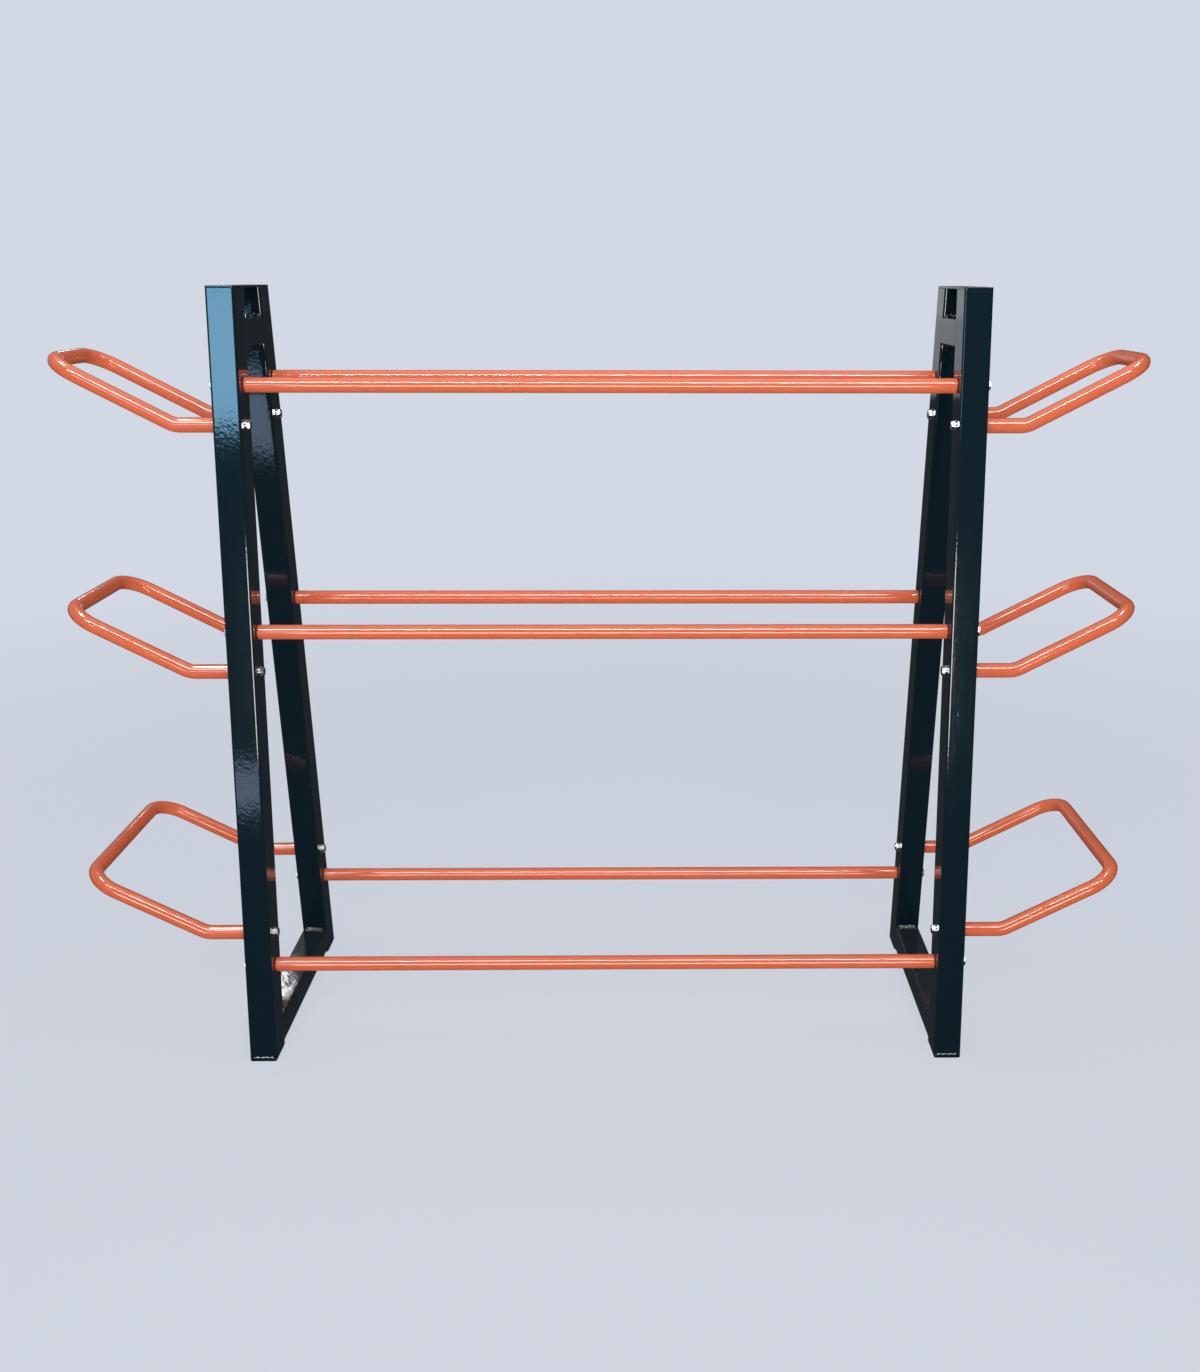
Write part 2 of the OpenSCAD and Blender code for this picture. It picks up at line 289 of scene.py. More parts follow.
def powder_coat(name, colour, peel_height, stretch, roughness, dust):
    """Gloss polyester powder coat, sprayed on and baked. To the eye it is a deep even colour under a
    wet-looking skin whose orange peel breaks up reflections, with a little dust on level faces.
    peel_height is the height of the peel, stretch how close the slow waves lie in height, and dust the
    thickest film of dust, from 0 to 1."""
    material, tree = new_material(name)
    place = add_node(tree, "ShaderNodeTexCoord").outputs["Object"]
    # Real orange peel is 1 to 3 mm from dimple to dimple; it is drawn at about 8 mm so that it shows.
    peel = add_node(tree, "ShaderNodeTexNoise", {"Vector": place, "Scale": 1 / 0.008, "Detail": 2.0})
    # Slow waves in the film and the steel under it, about 30 mm apart and drawn out in height.
    drawn_out = add_node(tree, "ShaderNodeVectorMath", {0: place, 1: (1.0, 1.0, stretch)},
                         operation="MULTIPLY")
    waves = add_node(tree, "ShaderNodeTexNoise",
                     {"Vector": drawn_out.outputs[0], "Scale": 1 / 0.03, "Detail": 2.0})
    height = add_node(tree, "ShaderNodeMath", {0: waves.outputs["Fac"], 1: 2.0, 2: peel.outputs["Fac"]},
                      operation="MULTIPLY_ADD")
    bump = add_node(tree, "ShaderNodeBump",
                    {"Strength": 1.0, "Distance": peel_height, "Height": height.outputs[0]})
    # The film's colour is a shade deeper where it is thick.
    deep = tuple(0.9 * c for c in colour[:3]) + (1.0,)
    shade = add_node(tree, "ShaderNodeMix", {0: waves.outputs["Fac"], 6: deep, 7: colour},
                     data_type="RGBA").outputs[2]
    # Dust settles on faces that look up, in soft patches about 25 mm across with fine specks.
    normal = add_node(tree, "ShaderNodeNewGeometry").outputs["Normal"]
    level = add_node(tree, "ShaderNodeSeparateXYZ", {0: normal}).outputs["Z"]
    patches = add_node(tree, "ShaderNodeTexNoise",
                       {"Vector": place, "Scale": 1 / 0.025, "Detail": 6.0, "Roughness": 0.7})
    facing_up = add_node(tree, "ShaderNodeMapRange",
                         {"Value": level, "From Min": 0.6, "From Max": 1.0, "To Max": dust})
    film = add_node(tree, "ShaderNodeMath", {0: facing_up.outputs[0], 1: patches.outputs["Fac"]},
                    operation="MULTIPLY").outputs[0]
    dusty = add_node(tree, "ShaderNodeMix", {0: film, 6: shade, 7: linear("#b9b4ab")},
                     data_type="RGBA").outputs[2]
    # Handling leaves the gloss slightly uneven.
    gloss = add_node(tree, "ShaderNodeMapRange", {
        "Value": patches.outputs["Fac"], "From Min": 0.3, "From Max": 0.7,
        "To Min": 0.8 * roughness, "To Max": 1.3 * roughness})
    rough = add_node(tree, "ShaderNodeMath", {0: film, 1: 0.5, 2: gloss.outputs[0]},
                     operation="MULTIPLY_ADD")
    shader = add_node(tree, "ShaderNodeBsdfPrincipled", {
        "Base Color": dusty, "Roughness": rough.outputs[0], "IOR": 1.5, "Normal": bump.outputs["Normal"]})
    add_node(tree, "ShaderNodeOutputMaterial", {"Surface": shader.outputs["BSDF"]})
    return material


def bright_zinc(name, colour):
    """Bright zinc electroplate on steel. To the eye it is a silvery metal with a faint satin grain,
    uneven gloss and small duller patches where it was handled."""
    material, tree = new_material(name)
    place = add_node(tree, "ShaderNodeTexCoord").outputs["Object"]
    # Plating grain is under 0.1 mm; it is drawn at 0.8 mm so that it shows.
    grain = add_node(tree, "ShaderNodeTexNoise", {"Vector": place, "Scale": 1 / 0.0008, "Detail": 2.0})
    patches = add_node(tree, "ShaderNodeTexNoise", {"Vector": place, "Scale": 1 / 0.006, "Detail": 3.0})
    gloss = add_node(tree, "ShaderNodeMapRange", {
        "Value": patches.outputs["Fac"], "From Min": 0.3, "From Max": 0.7,
        "To Min": 0.16, "To Max": 0.34})
    bump = add_node(tree, "ShaderNodeBump",
                    {"Strength": 1.0, "Distance": 0.01 * MM, "Height": grain.outputs["Fac"]})
    dull = tuple(0.75 * c for c in colour[:3]) + (1.0,)
    shade = add_node(tree, "ShaderNodeMix", {0: patches.outputs["Fac"], 6: colour, 7: dull},
                     data_type="RGBA").outputs[2]
    shader = add_node(tree, "ShaderNodeBsdfPrincipled", {
        "Base Color": shade, "Metallic": 1.0, "Roughness": gloss.outputs[0],
        "Normal": bump.outputs["Normal"]})
    add_node(tree, "ShaderNodeOutputMaterial", {"Surface": shader.outputs["BSDF"]})
    return material


FINISH_NAMES = {
    "frame_powder_coat": "Blue-black gloss powder coat",
    "tube_powder_coat": "Coral gloss powder coat",
    "zinc_plate": "Bright zinc plate",
}


def finish_for(slot):
    """The finish that belongs to a material slot of the record, made the first time it is asked for."""
    name = FINISH_NAMES[slot]
    made = bpy.data.materials.get(name)
    if made:
        return made
    rack = bpy.context.scene.rack
    if slot == "frame_powder_coat":
        return powder_coat(name, (*rack.welded.colour, 1.0),
                           peel_height=0.11 * MM, stretch=0.12, roughness=0.06, dust=0.05)
    if slot == "tube_powder_coat":
        return powder_coat(name, (*rack.tubes.colour, 1.0),
                           peel_height=0.002 * MM, stretch=1.0, roughness=0.06, dust=0.02)
    return bright_zinc(name, (*rack.fasteners.colour, 1.0))


def add_piece(name, surface, node, slot):
    """Makes the surface a finished piece that stands for a CAD node."""
    points, faces = surface
    mesh = bpy.data.meshes.new(name)
    mesh.from_pydata(points.tolist(), [], faces)
    if mesh.validate():
        raise RuntimeError(f"{name} has faces that are not sound")
    mesh.shade_smooth()
    mesh.set_sharp_from_angle(angle=SHARP)
    piece = bpy.data.objects.new(name, mesh)
    bpy.context.scene.collection.objects.link(piece)
    mesh.materials.append(finish_for(slot))
    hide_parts(node)
    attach(piece, "root")
    return piece


# ---- Shapes of the pieces, drawn for the right side ----

def post_surface(place, settings):
    """Leaning post: a rectangular tube outline run up its slope between two level cuts."""
    depth = POST_DY * math.cos(LEAN)
    wall, r = settings.wall, settings.corner_radius
    outer = rectangle(POST_W, depth, r)
    inner = rectangle(POST_W - 2 * wall, depth - 2 * wall, r - wall)
    along = np.array([0, -place * math.sin(LEAN), math.cos(LEAN)])
    up = np.array([0, math.cos(LEAN), place * math.sin(LEAN)])
    origin = np.array([MIDDLE_X, place * post_y(POST_Z0), POST_Z0])
    return cut_tube(outer, inner, origin, X, up, along, (Z * POST_Z0, Z), (Z * POST_Z1, Z))


def cross_tube_surface(low, high, settings):
    """Level tube between the posts: a rectangular outline run in Y between their sloping faces."""
    wall, r = settings.wall, settings.corner_radius
    height = high[2] - low[2]
    outer = rectangle(POST_W, height, r)
    inner = rectangle(POST_W - 2 * wall, height - 2 * wall, r - wall)
    middle = (low[2] + high[2]) / 2
    origin = np.array([MIDDLE_X, 0, middle])
    planes = [(np.array([0, place * gap_y(middle), middle]), np.array([0, place, SLOPE]))
              for place in (FRONT, REAR)]
    return cut_tube(outer, inner, origin, X, Z, Y, *planes)


def ripple(x, pitch, seed):
    """Height of a weld's ripples along x, from 0 to 1: a row of rounded scales, each one of a slightly
    different length and height."""
    random = np.random.default_rng(seed)
    count = int(np.ptp(x) / pitch) + 3
    edges = np.cumsum(random.uniform(0.75, 1.25, count)) * pitch + x.min() - pitch
    heights = random.uniform(0.6, 1.0, count)
    index = np.clip(np.searchsorted(edges, x), 1, count - 1)
    share = (x - edges[index - 1]) / (edges[index] - edges[index - 1])
    return heights[index] * np.sqrt(np.clip(4 * share * (1 - share), 0, 1))


def bead_surface(base, toward_a, toward_b, leg, crown, settings, seed):
    """Weld bead along X in the corner at base = (0, y, z), from the direction a to the direction b. Each
    section is an arc between the two directions at the leg's length, which the crown draws in at its
    middle, raised by ripples that curve back along the bead and tapered at both ends."""
    x = np.linspace(INNER_X + settings.corner_radius, OUTER_X - settings.corner_radius, BEAD_ALONG)
    k = np.linspace(0, 1, BEAD_ACROSS)
    grid_x, grid_k = np.meshgrid(x, k, indexing="ij")
    lag = 0.6 * settings.ripple_pitch * (2 * grid_k - 1) ** 2
    waves = ripple((grid_x + lag).ravel(), settings.ripple_pitch, seed).reshape(grid_x.shape)
    from_end = np.minimum(grid_x - x[0], x[-1] - grid_x) / (1.2 * leg)
    taper = np.sqrt(np.clip(1 - (1 - np.clip(from_end, 0, 1)) ** 2, 0.02, 1))
    body = np.sin(math.pi * grid_k)
    reach = leg * taper * (1 - (1 - crown) * body + 0.7 * body * (waves - 0.7))
    turn = math.acos(np.clip(toward_a @ toward_b, -1, 1))
    direction = (np.sin((1 - grid_k) * turn)[..., None] * toward_a
                 + np.sin(grid_k * turn)[..., None] * toward_b) / math.sin(turn)
    arc = base + reach[..., None] * direction
    arc[..., 0] = grid_x
    root = np.broadcast_to(base - 0.15 * leg * (toward_a + toward_b), (len(x), 1, 3)).copy()
    root[..., 0] = x[:, None]
    return skin(np.concatenate([root, arc], 1), closed=False)


def foot_bead_surface(place, settings, seed):
    """Weld bead over the flush joint of a post and its foot plate: each section is a low arch on the
    post's outer face, raised by ripples and tapered at both ends."""
    x = np.linspace(INNER_X + settings.corner_radius, OUTER_X - settings.corner_radius, BEAD_ALONG)
    k = np.linspace(-1, 1, BEAD_ACROSS)
    grid_x, grid_k = np.meshgrid(x, k, indexing="ij")
    waves = ripple((grid_x + 0.6 * settings.ripple_pitch * grid_k ** 2).ravel(),
                   settings.ripple_pitch, seed).reshape(grid_x.shape)
    from_end = np.minimum(grid_x - x[0], x[-1] - grid_x) / settings.bead_leg
    taper = np.sqrt(np.clip(1 - (1 - np.clip(from_end, 0, 1)) ** 2, 0.02, 1))
    arch = settings.bead_proud * taper * (1 - grid_k ** 2) * (0.5 + 0.5 * waves)
    upwards = np.array([0, -place * math.sin(LEAN), math.cos(LEAN)])
    outwards = np.array([0, place * math.cos(LEAN), math.sin(LEAN)])
    base = np.array([0, place * (gap_y(POST_Z0) + POST_DY), POST_Z0])
    half = settings.bead_leg / 2
    face = base + half * (taper * grid_k)[..., None] * upwards + arch[..., None] * outwards
    face[..., 0] = grid_x
    root = np.broadcast_to(base - 0.3 * half * outwards, (len(x), 1, 3)).copy()
    root[..., 0] = x[:, None]
    return skin(np.concatenate([root, face], 1), closed=False)


def groove_bead_surface(place, flank, low_z, high_z, settings, seed):
    """Weld that fills the groove between a post's rounded corner and the flush side of a cross tube:
    the corner's square less the corner's circle, run up the post. Ripples sink its side face a hair."""
    r = settings.corner_radius
    fill = settings.groove_fill * r
    edge = math.acos(1 - fill / r)
    turn = np.linspace(edge, math.pi / 2 - edge, 9)
    arc = r * (1 - np.stack([np.cos(turn), np.sin(turn)], 1))
    outline = np.concatenate([[[0, 0], [fill, 0]], arc, [[0, fill]]])
    z = np.linspace(low_z + r, high_z - r, 61)[:, None]
    sink = 0.3 * MM * (1 - ripple(z[:, 0], settings.ripple_pitch, seed))[:, None]
    x = MIDDLE_X + flank * (POST_W / 2 - np.maximum(outline[:, 0], sink))
    y = place * (gap_y(z) + outline[:, 1] / math.cos(LEAN))
    return skin(np.stack([x, y, np.broadcast_to(z, x.shape)], -1), closed=False)


def weld_bead_surfaces(settings, side):
    """All the beads of a side frame: on the runner, above and below the brace, along the flush sides of
    both, and at the feet."""
    crown = 0.86
    seams = [(RUNNER_HIGH[2], 1), (BRACE_HIGH[2], 1), (BRACE_LOW[2], -1)]
    beads = []
    for place in (FRONT, REAR):
        for number, (z, upper) in enumerate(seams):
            base = np.array([0, place * gap_y(z), z])
            inwards = -place * Y
            post_face = upper * np.array([0, -place * math.sin(LEAN), math.cos(LEAN)])
            seed = 10 * number + 3 * place + side + 50
            beads.append(bead_surface(base, inwards, post_face, settings.bead_leg, crown, settings, seed))
        beads.append(foot_bead_surface(place, settings, 90 + 3 * place + side))
        for low, high in ((RUNNER_LOW[2], RUNNER_HIGH[2]), (BRACE_LOW[2], BRACE_HIGH[2])):
            for flank in (-1, 1):
                seed = 120 + place + 2 * flank
                beads.append(groove_bead_surface(place, flank, low, high, settings, seed))
    return join(beads)


def rail_surface(node, settings):
    """Straight tube between its two end caps, with its end edges eased."""
    low, high = box(node)
    ease = settings.end_ease
    profile = round_corners([[high[0], TUBE_R], [low[0], TUBE_R], [low[0], TUBE_R - settings.wall],
                             [high[0], TUBE_R - settings.wall]], ease, 3)
    centre = np.array([0, (low[1] + high[1]) / 2, (low[2] + high[2]) / 2])
    return turned(profile, centre, closed=True)


def loop_path(node, settings):
    """Centre line of a right-hand loop: points, upward directions and directions ahead. Half of it runs
    from the rear post: a level stub, an arc up to the slope, a straight leg, and a quarter arc that
    turns it level. The other half is its mirror image in Y, run backwards."""
    low, high = box(node)
    rise, bend_r, corner_r = settings.loop_rise, settings.stub_bend_radius, settings.corner_radius
    z = low[2] + TUBE_R
    y = high[1] - TUBE_R
    reach = np.abs([low[0], high[0]]).max() - TUBE_R
    climb = high[2] - TUBE_R - z
    vertex = reach - climb / math.tan(rise)
    leg = climb / math.sin(rise)
    bend_t = bend_r * math.tan(rise / 2)
    slope = np.array([math.cos(rise), 0, math.sin(rise)])
    normal = np.array([-math.sin(rise), 0, math.cos(rise)])

    a = np.linspace(0, rise, 13)[:, None]
    centre = np.array([vertex - bend_t, y, z + bend_r])
    bend = centre + bend_r * (np.sin(a) * X - np.cos(a) * Z)
    bend_up = -np.sin(a) * X + np.cos(a) * Z
    bend_ahead = np.cos(a) * X + np.sin(a) * Z

    b = np.linspace(0, math.pi / 2, 25)[:, None]
    corner_centre = np.array([vertex, y - corner_r, z]) + (leg - corner_r) * slope
    corner = corner_centre + corner_r * (np.sin(b) * slope + np.cos(b) * Y)
    corner_ahead = np.cos(b) * slope - np.sin(b) * Y

    hold = 10 * HOLD
    start = np.array([OUTER_X + CAP_RIM, y, z])
    points = np.concatenate([
        [start, bend[0] - hold * X], bend, [bend[-1] + hold * slope, corner[0] - hold * slope], corner,
        [corner[-1] - hold * Y]])
    up = np.concatenate([[Z, Z], bend_up, [normal] * (len(corner) + 3)])
    ahead = np.concatenate([[X, X], bend_ahead, [slope, slope], corner_ahead, [-Y]])
    flip = np.array([1, -1, 1])
    return (np.concatenate([points, points[::-1] * flip]),
            np.concatenate([up, up[::-1] * flip]),
            np.concatenate([ahead, -ahead[::-1] * flip]))


def end_cap_surface(x, y, z, outwards, tubes, fasteners):
    """Cap in a tube's end: a rim with a rounded edge, a spigot inside the tube and a blind tapped hole.
    Its face is at x and its spigot points along X in the direction outwards."""
    bore_r = TUBE_R - tubes.wall - tubes.fit_gap / 2
    hole_r = (fasteners.bolt_diameter + tubes.fit_gap) / 2
    end = CAP_RIM + tubes.spigot
    middle = 0.5 * MM
    corners = [[tubes.hole_depth, middle], [tubes.hole_depth, hole_r], [0, hole_r], [0, TUBE_R],
               [CAP_RIM, TUBE_R], [CAP_RIM, bore_r], [end, bore_r], [end, middle]]
    radii = [0, 0, 0.3 * MM, tubes.cap_edge, tubes.end_ease, 0, 1 * MM, 0]
    profile = round_corners(corners, radii)
    return turned(profile, np.array([x, y, z]), False, outwards * X)


def bolt_surface(x, y, z, outwards, angle, settings):
    """Hexagon bolt with its seat at x, its head towards outwards and its shank the other way. The head's
    radius round the axis is that of a hexagon, and a 30 degree cone cuts its top, which leaves the
    curved edge that each flat has on a real one."""
    turn = np.linspace(0, 2 * math.pi, HEAD_AROUND, endpoint=False)
    apothem = settings.head_width / 2
    hexagon = apothem / np.cos((turn % (math.pi / 3)) - math.pi / 6)
    flat_top = 0.94 * apothem
    r = settings.bolt_diameter / 2
    tip = 1.5 * MM
    step = 0.4 * MM
    cone = math.radians(30)
    height = HEAD_H - (hexagon - flat_top) * math.tan(cone)
    shank = [(-settings.bolt_length, r - tip), (tip - settings.bolt_length, r), (0, r)]
    seat = [(0, flat_top), (step, flat_top), (step, hexagon - 0.3 * MM), (step + 0.3 * MM, hexagon)]
    crown = [(height - 0.25 * MM, hexagon), (height + 0.1 * MM, hexagon - 0.45 * MM),
             (HEAD_H - 0.1 * MM, flat_top + 0.2 * MM), (HEAD_H, flat_top - 0.3 * MM), (HEAD_H, 1 * MM)]
    side = Y * outwards
    around = np.cos(turn + angle)[:, None] * side + np.sin(turn + angle)[:, None] * Z
    centre = np.array([x, y, z])
    rings = [centre + np.reshape(np.broadcast_to(h, turn.shape), (-1, 1)) * outwards * X
             + np.reshape(np.broadcast_to(radius, turn.shape), (-1, 1)) * around
             for h, radius in shank + seat + crown]
    return skin(np.array(rings), closed=False)


def washer_surface(x, y, z, outwards, settings):
    """Plain washer from the face at x outwards, with eased edges."""
    hole_r = (settings.bolt_diameter + settings.hole_gap) / 2
    profile = round_corners([[0, hole_r], [0, WASHER_R], [WASHER_T, WASHER_R], [WASHER_T, hole_r]],
                            settings.washer_edge, 4)
    return turned(profile, np.array([x, y, z]), True, outwards * X)


def fitting_places(heights):
    """Places of the post holes at the given heights on the right side, as (y, z)."""
    return [(place * post_y(z), z) for z in heights for place in (FRONT, REAR)]


# ---- Settings ----

class WeldedFrameSettings(bpy.types.PropertyGroup):
    """Details and colour of the two welded side frames."""
    wall: bpy.props.FloatProperty(
        name="Tube Wall", description="Wall thickness of the rectangular tube",
        default=3 * MM, min=1 * MM, unit="LENGTH")
    corner_radius: bpy.props.FloatProperty(
        name="Corner Radius", description="Outside corner radius of the rectangular tube",
        default=5 * MM, min=3.5 * MM, unit="LENGTH")
    plate_edge: bpy.props.FloatProperty(
        name="Plate Edge", description="Radius of the softened edges of the top plates",
        default=1 * MM, min=0.2 * MM, unit="LENGTH")
    foot_edge: bpy.props.FloatProperty(
        name="Foot Edge", description="Radius of the softened edges of the foot plates",
        default=1.6 * MM, min=0.2 * MM, unit="LENGTH")
    bead_leg: bpy.props.FloatProperty(
        name="Bead Leg", description="Leg length of a weld bead",
        default=6 * MM, min=2 * MM, unit="LENGTH")
    bead_proud: bpy.props.FloatProperty(
        name="Bead Height", description="How far the bead over a flush joint stands out",
        default=2 * MM, min=0.5 * MM, unit="LENGTH")
    groove_fill: bpy.props.FloatProperty(
        name="Groove Fill",
        description="Depth of the weld beside a cross tube, as a part of the corner radius",
        default=0.75, min=0.5, max=0.9)
    ripple_pitch: bpy.props.FloatProperty(
        name="Ripple Pitch", description="Distance between two ripples of a weld bead",
        default=11 * MM, min=1 * MM, unit="LENGTH")
    colour: bpy.props.FloatVectorProperty(
        name="Coat Colour", description="Colour of the powder coat", subtype="COLOR",
        default=linear("#0e2029")[:3], min=0, max=1)


class TubeSettings(bpy.types.PropertyGroup):
    """Details and colour of the rails, the loops and their end caps."""
    wall: bpy.props.FloatProperty(
        name="Tube Wall", description="Wall thickness of the round tube",
        default=2.5 * MM, min=1 * MM, unit="LENGTH")
    loop_rise: bpy.props.FloatProperty(
        name="Loop Rise", description="Slope of a loop above level",
        default=math.radians(27.5), min=math.radians(10), max=math.radians(60), subtype="ANGLE")
    stub_bend_radius: bpy.props.FloatProperty(
        name="Stub Bend Radius", description="Centre-line radius of the bend between a stub and its leg",
        default=55 * MM, min=35 * MM, unit="LENGTH")
    corner_radius: bpy.props.FloatProperty(
        name="Corner Radius", description="Centre-line radius of a loop's outer corners",
        default=66 * MM, min=30 * MM, unit="LENGTH")
    cap_edge: bpy.props.FloatProperty(
        name="Cap Edge", description="Radius of an end cap's rounded edge",
        default=4 * MM, min=1 * MM, unit="LENGTH")
    end_ease: bpy.props.FloatProperty(
        name="Eased End", description="Radius of the eased edges where a tube meets its end cap",
        default=0.25 * MM, min=0.1 * MM, unit="LENGTH")
    spigot: bpy.props.FloatProperty(
        name="Spigot Length", description="Length of an end cap's spigot inside the tube",
        default=20 * MM, min=10 * MM, unit="LENGTH")
    hole_depth: bpy.props.FloatProperty(
        name="Hole Depth", description="Depth of the tapped hole in an end cap",
        default=20 * MM, min=10 * MM, unit="LENGTH")
    fit_gap: bpy.props.FloatProperty(
        name="Fit Gap", description="Clearance between fitted pieces, on the diameter",
        default=0.1 * MM, min=0, unit="LENGTH")
    colour: bpy.props.FloatVectorProperty(
        name="Coat Colour", description="Colour of the powder coat", subtype="COLOR",
        default=linear("#e9734e")[:3], min=0, max=1)


class FastenerSettings(bpy.types.PropertyGroup):
    """Details and colour of the bolts and washers."""
    bolt_diameter: bpy.props.FloatProperty(
        name="Bolt Diameter", description="Diameter of a bolt's shank",
        default=12 * MM, unit="LENGTH")
    bolt_length: bpy.props.FloatProperty(
        name="Bolt Length", description="Length of a bolt under its head",
        default=80 * MM, unit="LENGTH")
    head_width: bpy.props.FloatProperty(
        name="Head Width", description="Width of a bolt's head across its flats",
        default=19 * MM, unit="LENGTH")
    hole_gap: bpy.props.FloatProperty(
        name="Hole Gap", description="Clearance between a bolt and its washer, on the diameter",
        default=1 * MM, unit="LENGTH")
    washer_edge: bpy.props.FloatProperty(
        name="Washer Edge", description="Radius of a washer's eased edges",
        default=0.4 * MM, unit="LENGTH")
    colour: bpy.props.FloatVectorProperty(
        name="Plate Colour", description="Colour of the zinc plate", subtype="COLOR",
        default=linear("#d3d7da")[:3], min=0, max=1)


class StageSettings(bpy.types.PropertyGroup):
    """Floor, background, lights and camera."""
    backdrop: bpy.props.FloatVectorProperty(
        name="Backdrop Colour", description="Colour of the background", subtype="COLOR",
        default=linear("#d3d9e4")[:3], min=0, max=1)
    floor: bpy.props.FloatVectorProperty(
        name="Floor Colour", description="Colour of the floor paint", subtype="COLOR",
        default=linear("#d0d6e1")[:3], min=0, max=1)
    soft_light: bpy.props.FloatProperty(
        name="Soft Light", description="Level of the large soft lights", default=1, min=0)
    lamp_light: bpy.props.FloatProperty(
        name="Lamp Light", description="Level of the lamps that show as highlights", default=1, min=0)
    camera_place: bpy.props.FloatVectorProperty(
        name="Camera Place", description="Where the camera stands", subtype="TRANSLATION",
        default=(0.09204, -3.20565, 1.71184))
    heading: bpy.props.FloatProperty(
        name="Camera Heading", description="Turn of the view from +Y towards +X",
        default=0.01462, subtype="ANGLE")
    tilt: bpy.props.FloatProperty(
        name="Camera Tilt", description="Angle of the view below level",
        default=0.29927, subtype="ANGLE")
    roll: bpy.props.FloatProperty(
        name="Camera Roll", description="Turn of the picture", default=0.00241, subtype="ANGLE")
    lens: bpy.props.FloatProperty(
        name="Focal Length", description="Focal length of the camera in millimetres", default=37.514)
    shift: bpy.props.FloatVectorProperty(
        name="Lens Shift", description="Shift of the picture across the sensor", size=2,
        default=(-0.04823, 0.02212))


class RackSettings(bpy.types.PropertyGroup):
    """All the settings of the rack."""
    welded: bpy.props.PointerProperty(type=WeldedFrameSettings)
    tubes: bpy.props.PointerProperty(type=TubeSettings)
    fasteners: bpy.props.PointerProperty(type=FastenerSettings)
    stage: bpy.props.PointerProperty(type=StageSettings)


# ---- Operators ----

SIDES = (("left", LEFT), ("right", RIGHT))


class RACK_OT_posts(bpy.types.Operator):
    """Add the four leaning posts"""
    bl_idname = "rack.posts"
    bl_label = "Posts"

    def execute(self, context):
        for name, side in SIDES:
            for place_name, place in (("front", FRONT), ("rear", REAR)):
                node = f"{name}_{place_name}_post"
                surface = on_side(post_surface(place, context.scene.rack.welded), side)
                add_piece("coated_" + node, surface, node, "frame_powder_coat")
        return {"FINISHED"}


class RACK_OT_cross_tubes(bpy.types.Operator):
    """Add the base runner and the top brace of each side frame"""
    bl_idname = "rack.cross_tubes"
    bl_label = "Runners and Braces"

    def execute(self, context):
        for name, side in SIDES:
            for part in ("base_runner", "top_brace"):
                low, high = box("right_" + part)
                surface = on_side(cross_tube_surface(low, high, context.scene.rack.welded), side)
                node = f"{name}_{part}"
                add_piece("coated_" + node, surface, node, "frame_powder_coat")
        return {"FINISHED"}


class RACK_OT_plates(bpy.types.Operator):
    """Add the top plate and the foot plates of each side frame"""
    bl_idname = "rack.plates"
    bl_label = "Plates"

    def execute(self, context):
        settings = context.scene.rack.welded
        r = settings.corner_radius
        top = plate(POST_W, TOP_HIGH[1] - TOP_LOW[1], r, TOP_LOW[2], TOP_HIGH[2], settings.plate_edge,
                    lambda z: 0.0)
        feet = join([plate(POST_W, POST_DY, r, 0, POST_Z0, settings.foot_edge,
                           lambda z, place=place: place * post_y(z)) for place in (FRONT, REAR)])
        for name, side in SIDES:
            add_piece(f"coated_{name}_top_plate", on_side(top, side), f"{name}_top_plate",
                      "frame_powder_coat")
            add_piece(f"coated_{name}_foot_plates", on_side(feet, side), f"{name}_foot_plates",
                      "frame_powder_coat")
        return {"FINISHED"}


class RACK_OT_weld_beads(bpy.types.Operator):
    """Add the weld beads of each side frame"""
    bl_idname = "rack.weld_beads"
    bl_label = "Weld Beads"

    def execute(self, context):
        for name, side in SIDES:
            surface = on_side(weld_bead_surfaces(context.scene.rack.welded, side), side)
            add_piece(f"coated_{name}_weld_beads", surface, f"{name}_weld_beads", "frame_powder_coat")
        return {"FINISHED"}


class RACK_OT_rails(bpy.types.Operator):
    """Add the six rails"""
    bl_idname = "rack.rails"
    bl_label = "Rails"

    def execute(self, context):
        for node in RAIL_NODES:
            surface = rail_surface(node, context.scene.rack.tubes)
            add_piece("coated_" + node, surface, node, "tube_powder_coat")
        return {"FINISHED"}


class RACK_OT_loops(bpy.types.Operator):
    """Add the six bent loops"""
    bl_idname = "rack.loops"
    bl_label = "Loops"

    def execute(self, context):
        tubes = context.scene.rack.tubes
        for node in LOOP_NODES:
            points, up, ahead = loop_path(node, tubes)
            surface = swept_tube(points, up, ahead, TUBE_R, TUBE_R - tubes.wall)
            side = LEFT if node.startswith("left") else RIGHT
            add_piece("coated_" + node, on_side(surface, side), node, "tube_powder_coat")
        return {"FINISHED"}


class RACK_OT_end_caps(bpy.types.Operator):
    """Add the end caps of the rails and loops"""
    bl_idname = "rack.end_caps"
    bl_label = "End Caps"

    def execute(self, context):
        rack = context.scene.rack
        for node, heights, x, outwards in (("rail_end_caps", rail_heights(), INNER_X, -1),
                                           ("loop_end_caps", loop_heights(), OUTER_X, 1)):
            right = join([end_cap_surface(x, y, z, outwards, rack.tubes, rack.fasteners)
                          for y, z in fitting_places(heights)])
            add_piece("coated_" + node, join([right, mirrored(right)]), node, "tube_powder_coat")
        return {"FINISHED"}


